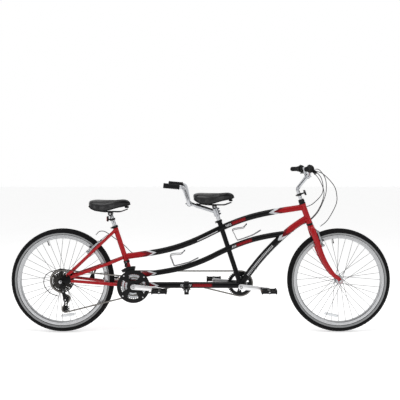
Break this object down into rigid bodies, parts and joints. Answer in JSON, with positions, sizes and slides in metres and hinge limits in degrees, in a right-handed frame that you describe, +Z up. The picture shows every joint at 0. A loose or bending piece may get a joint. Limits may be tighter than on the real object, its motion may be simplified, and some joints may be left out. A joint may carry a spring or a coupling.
{
  "type": "tandem bicycle",
  "caption": "Step-through tandem bicycle for two riders, with curved long tubes, left-side timing drive, derailleur gears and rim brakes.",
  "frame": {"origin": "on the ground, midway between the two axles, in the bicycle's middle plane", "axes": "+X forward, +Y to the riders' left, +Z up"},
  "size_m": [2.428, 0.6156, 1.0669],
  "materials": {
    "red_paint": "gloss",
    "black_paint": "gloss",
    "bright_alloy": "polished",
    "dark_steel": "satin",
    "tyre_rubber": "matt",
    "grip_rubber": "matt",
    "black_plastic": "satin",
    "saddle_vinyl": "matt",
    "chain_steel": "oiled",
    "cage_wire": "polished"
  },
  "bodies": {
    "frame": {"head_tube": "red_paint", "top_tube": "black_paint", "lower_tube": "black_paint", "down_tube": "black_paint", "boom_tube": "black_paint", "captain_seat_tube": "black_paint", "stoker_seat_tube": "red_paint", "bottom_brackets": "red_paint", "seat_stays": "red_paint", "middle_stays": "red_paint", "chain_stays": "red_paint", "bottle_cages": "cage_wire", "idler_bracket": "dark_steel", "rear_axle": "bright_alloy", "drive_chain": "chain_steel", "timing_chain": "chain_steel", "frame_cables": "black_plastic", "frame_fittings": "dark_steel"},
    "fork": {"fork": "red_paint", "stem": "bright_alloy", "handlebar": "bright_alloy", "grips_and_mounts": "grip_rubber", "front_reflector": "black_plastic", "front_axle": "bright_alloy", "steering_cables": "black_plastic"},
    "left_shifter": {"left_shifter": "black_plastic"},
    "right_shifter": {"right_shifter": "black_plastic"},
    "left_brake_lever": {"left_brake_lever": "black_plastic"},
    "right_brake_lever": {"right_brake_lever": "black_plastic"},
    "front_wheel": {"front_tyre": "tyre_rubber", "front_rim": "bright_alloy", "front_hub": "bright_alloy"},
    "rear_wheel": {"rear_tyre": "tyre_rubber", "rear_rim": "bright_alloy", "rear_hub": "bright_alloy"},
    "freewheel": {"freewheel": "dark_steel"},
    "front_cranks": {"front_cranks": "bright_alloy", "front_timing_ring": "dark_steel"},
    "rear_cranks": {"rear_cranks": "bright_alloy", "chainrings": "dark_steel", "chainguard": "black_plastic"},
    "front_right_pedal": {"front_right_pedal": "black_plastic"},
    "front_left_pedal": {"front_left_pedal": "black_plastic"},
    "rear_right_pedal": {"rear_right_pedal": "black_plastic"},
    "rear_left_pedal": {"rear_left_pedal": "black_plastic"},
    "idler_pulley": {"idler_pulley": "dark_steel"},
    "rear_derailleur": {"rear_derailleur": "dark_steel"},
    "guide_pulley": {"guide_pulley": "black_plastic"},
    "tension_pulley": {"tension_pulley": "black_plastic"},
    "front_derailleur": {"front_derailleur": "dark_steel"},
    "captain_post": {"captain_seatpost": "bright_alloy", "captain_saddle": "saddle_vinyl", "stoker_stem": "bright_alloy", "stoker_bar": "bright_alloy"},
    "stoker_post": {"stoker_seatpost": "bright_alloy", "stoker_saddle": "saddle_vinyl"},
    "front_left_brake": {"front_left_brake": "bright_alloy"},
    "front_right_brake": {"front_right_brake": "bright_alloy"},
    "rear_left_brake": {"rear_left_brake": "bright_alloy"},
    "rear_right_brake": {"rear_right_brake": "bright_alloy"}
  },
  "joints": [
    {"name": "steering", "type": "hinge", "parent": "frame", "child": "fork", "pos_m": [0.675, 0, 0.755], "axis": [-0.3355, 0, 0.9421], "range_deg": [-60, 60], "deforming": ["steering_cables"]},
    {"name": "front_wheel_spin", "type": "hinge", "parent": "fork", "child": "front_wheel", "pos_m": [0.884, 0, 0.33], "axis": [0, 1, 0], "continuous": true},
    {"name": "rear_wheel_spin", "type": "hinge", "parent": "frame", "child": "rear_wheel", "pos_m": [-0.884, 0, 0.33], "axis": [0, 1, 0], "continuous": true},
    {"name": "rear_crank_spin", "type": "hinge", "parent": "frame", "child": "rear_cranks", "pos_m": [-0.426, 0, 0.297], "axis": [0, 1, 0], "continuous": true},
    {"name": "front_crank_spin", "type": "hinge", "parent": "frame", "child": "front_cranks", "pos_m": [0.255, 0, 0.297], "axis": [0, 1, 0], "continuous": true},
    {"name": "freewheel_spin", "type": "hinge", "parent": "frame", "child": "freewheel", "pos_m": [-0.884, 0, 0.33], "axis": [0, 1, 0], "continuous": true},
    {"name": "idler_spin", "type": "hinge", "parent": "frame", "child": "idler_pulley", "pos_m": [-0.092, 0.05, 0.27], "axis": [0, 1, 0], "continuous": true},
    {"name": "rear_shift", "type": "slide", "parent": "frame", "child": "rear_derailleur", "axis": [0, -1, 0], "range_m": [0, 0.027], "deforming": ["drive_chain", "frame_cables"]},
    {"name": "guide_pulley_spin", "type": "hinge", "parent": "rear_derailleur", "child": "guide_pulley", "pos_m": [-0.853, -0.04, 0.216], "axis": [0, 1, 0], "continuous": true},
    {"name": "tension_pulley_spin", "type": "hinge", "parent": "rear_derailleur", "child": "tension_pulley", "pos_m": [-0.859, -0.04, 0.153], "axis": [0, 1, 0], "continuous": true},
    {"name": "front_shift", "type": "slide", "parent": "frame", "child": "front_derailleur", "axis": [0, -1, 0], "range_m": [0, 0.015]},
    {"name": "rear_right_pedal_spin", "type": "hinge", "parent": "rear_cranks", "child": "rear_right_pedal", "pos_m": [-0.25665, -0.132, 0.28218], "axis": [0, 1, 0], "continuous": true},
    {"name": "rear_left_pedal_spin", "type": "hinge", "parent": "rear_cranks", "child": "rear_left_pedal", "pos_m": [-0.59535, 0.132, 0.31182], "axis": [0, 1, 0], "continuous": true},
    {"name": "front_right_pedal_spin", "type": "hinge", "parent": "front_cranks", "child": "front_right_pedal", "pos_m": [0.42435, -0.132, 0.28218], "axis": [0, 1, 0], "continuous": true},
    {"name": "front_left_pedal_spin", "type": "hinge", "parent": "front_cranks", "child": "front_left_pedal", "pos_m": [0.08565, 0.132, 0.31182], "axis": [0, 1, 0], "continuous": true},
    {"name": "captain_post_height", "type": "slide", "parent": "frame", "child": "captain_post", "axis": [-0.3156, 0, 0.9489], "range_m": [-0.025, 0.05]},
    {"name": "stoker_post_height", "type": "slide", "parent": "frame", "child": "stoker_post", "axis": [-0.3156, 0, 0.9489], "range_m": [-0.03, 0.05]},
    {"name": "left_shifter_turn", "type": "hinge", "parent": "fork", "child": "left_shifter", "pos_m": [0.63, 0.3, 1.04], "axis": [-0.3225, 0.9465, -0.014], "range_deg": [0, 61]},
    {"name": "right_shifter_turn", "type": "hinge", "parent": "fork", "child": "right_shifter", "pos_m": [0.63, -0.3, 1.04], "axis": [-0.3225, -0.9465, -0.014], "range_deg": [0, 111]},
    {"name": "left_brake_pull", "type": "hinge", "parent": "fork", "child": "left_brake_lever", "pos_m": [0.70171, 0.16573, 1.0249], "axis": [0.5392, 0.1959, 0.8191], "range_deg": [0, 14], "stiffness_Nm_per_rad": 1.5, "springref_deg": -5.73},
    {"name": "right_brake_pull", "type": "hinge", "parent": "fork", "child": "right_brake_lever", "pos_m": [0.70171, -0.16573, 1.0249], "axis": [-0.5392, 0.1959, -0.8191], "range_deg": [0, 14], "stiffness_Nm_per_rad": 1.5, "springref_deg": -5.73},
    {"name": "front_left_brake_close", "type": "hinge", "parent": "fork", "child": "front_left_brake", "pos_m": [0.76911, 0.041, 0.55128], "axis": [0.9421, 0, 0.3355], "range_deg": [0, 3.2]},
    {"name": "front_right_brake_close", "type": "hinge", "parent": "fork", "child": "front_right_brake", "pos_m": [0.76911, -0.041, 0.55128], "axis": [-0.9421, 0, -0.3355], "range_deg": [0, 3.2]},
    {"name": "rear_left_brake_close", "type": "hinge", "parent": "frame", "child": "rear_left_brake", "pos_m": [-0.71188, 0.041, 0.5076], "axis": [0.682, 0, -0.7314], "range_deg": [0, 3.2]},
    {"name": "rear_right_brake_close", "type": "hinge", "parent": "frame", "child": "rear_right_brake", "pos_m": [-0.71188, -0.041, 0.5076], "axis": [-0.682, 0, 0.7314], "range_deg": [0, 3.2]}
  ],
  "couplings": [
    {"joint": "front_crank_spin", "follows": "rear_crank_spin", "ratio": 1},
    {"joint": "freewheel_spin", "follows": "rear_crank_spin", "ratio": 0.82353},
    {"joint": "idler_spin", "follows": "rear_crank_spin", "ratio": -3.0769},
    {"joint": "guide_pulley_spin", "follows": "rear_crank_spin", "ratio": -2.5455},
    {"joint": "tension_pulley_spin", "follows": "rear_crank_spin", "ratio": 2.5455},
    {"joint": "right_shifter_turn", "follows": "rear_shift", "rad_per_m": 71.106},
    {"joint": "left_shifter_turn", "follows": "front_shift", "rad_per_m": 69.813},
    {"joint": "front_left_brake_close", "follows": "left_brake_pull", "ratio": 0.22855},
    {"joint": "front_right_brake_close", "follows": "left_brake_pull", "ratio": 0.22855},
    {"joint": "rear_left_brake_close", "follows": "right_brake_pull", "ratio": 0.22855},
    {"joint": "rear_right_brake_close", "follows": "right_brake_pull", "ratio": 0.22855}
  ]
}
